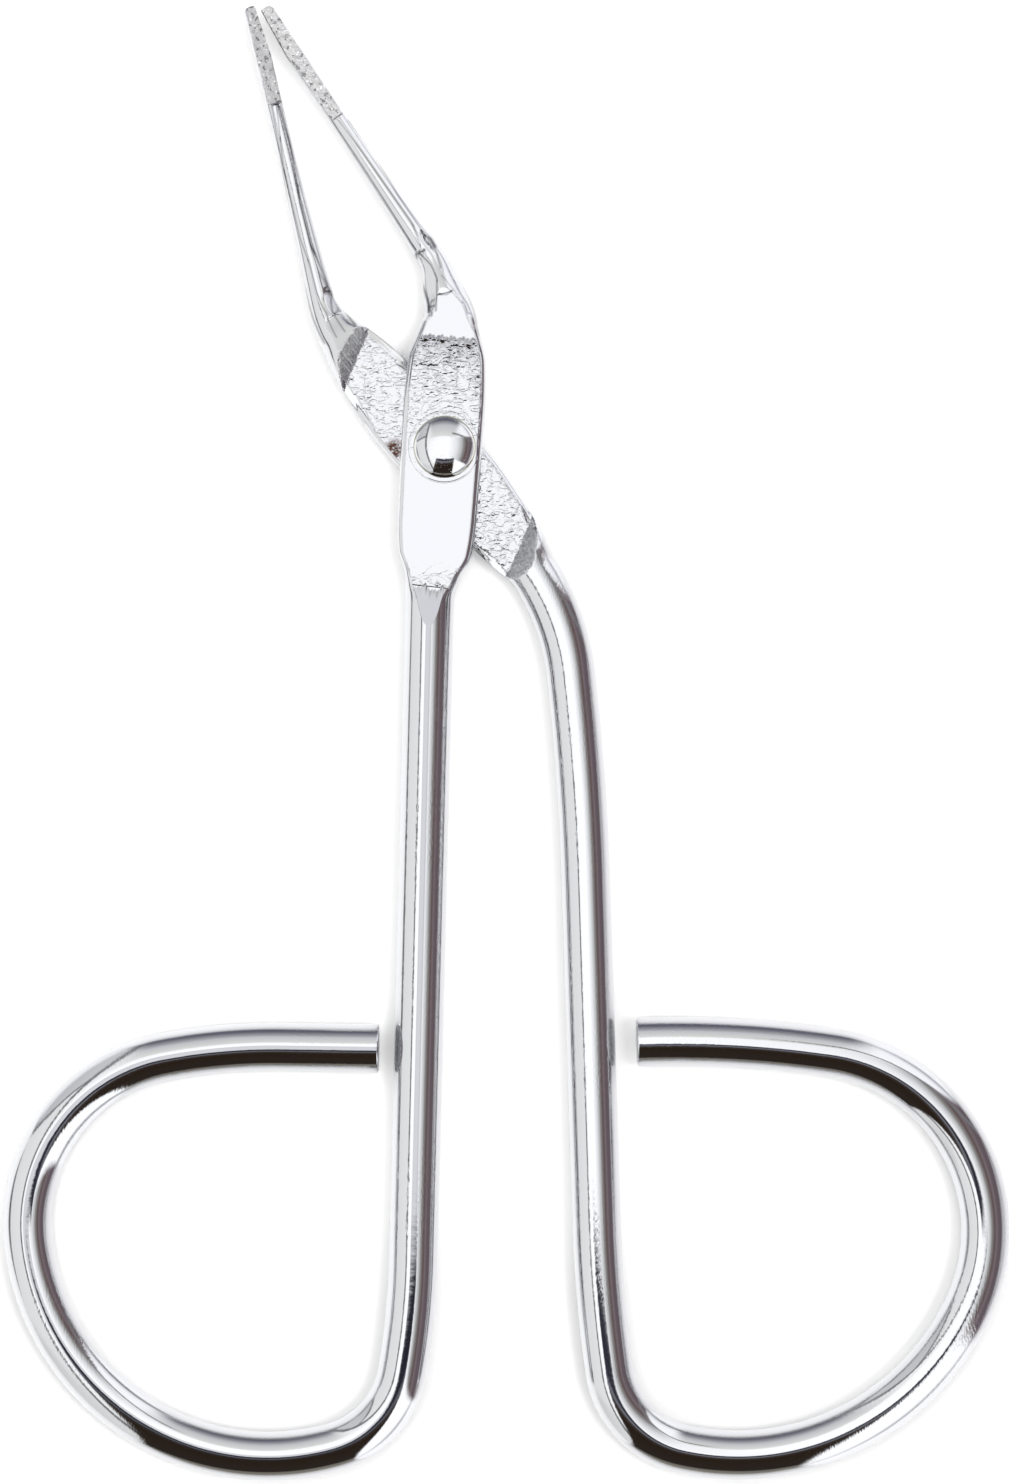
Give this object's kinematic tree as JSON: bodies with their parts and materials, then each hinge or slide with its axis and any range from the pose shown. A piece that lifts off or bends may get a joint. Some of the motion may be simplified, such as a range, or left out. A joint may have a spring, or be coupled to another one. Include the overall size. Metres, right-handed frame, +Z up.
{
  "type": "scissor tweezers",
  "caption": "Wire scissor tweezers: two chrome-plated bent-wire arms with finger loops and slim ground jaws that turn on a round-head rivet.",
  "frame": {"origin": "centre of the flat end of the rivet's tail, on which the lap rests", "axes": "+Z up along the rivet's axis to its domed head, +Y towards the jaw tips, +X to the side of the rear arm's handle"},
  "size_m": [0.0647, 0.095, 0.0043],
  "materials": {
    "front_arm_plate": "nickel-chrome plate over drawn steel wire, forged and pitted at the lap and ground at the tips",
    "rear_arm_plate": "nickel-chrome plate over drawn steel wire, forged and wrinkled at the lap and ground at the tips",
    "rivet_plate": "bright nickel-chrome plate over a smooth round-head rivet"
  },
  "bodies": {
    "front_arm": {"front_arm": "front_arm_plate", "pivot_rivet": "rivet_plate"},
    "rear_arm": {"rear_arm": "rear_arm_plate"}
  },
  "joints": [
    {"name": "pivot", "type": "hinge", "parent": "front_arm", "child": "rear_arm", "pos_m": [0, 0, 0.0018], "axis": [0, 0, 1], "range_deg": [-0.5, 95]}
  ]
}
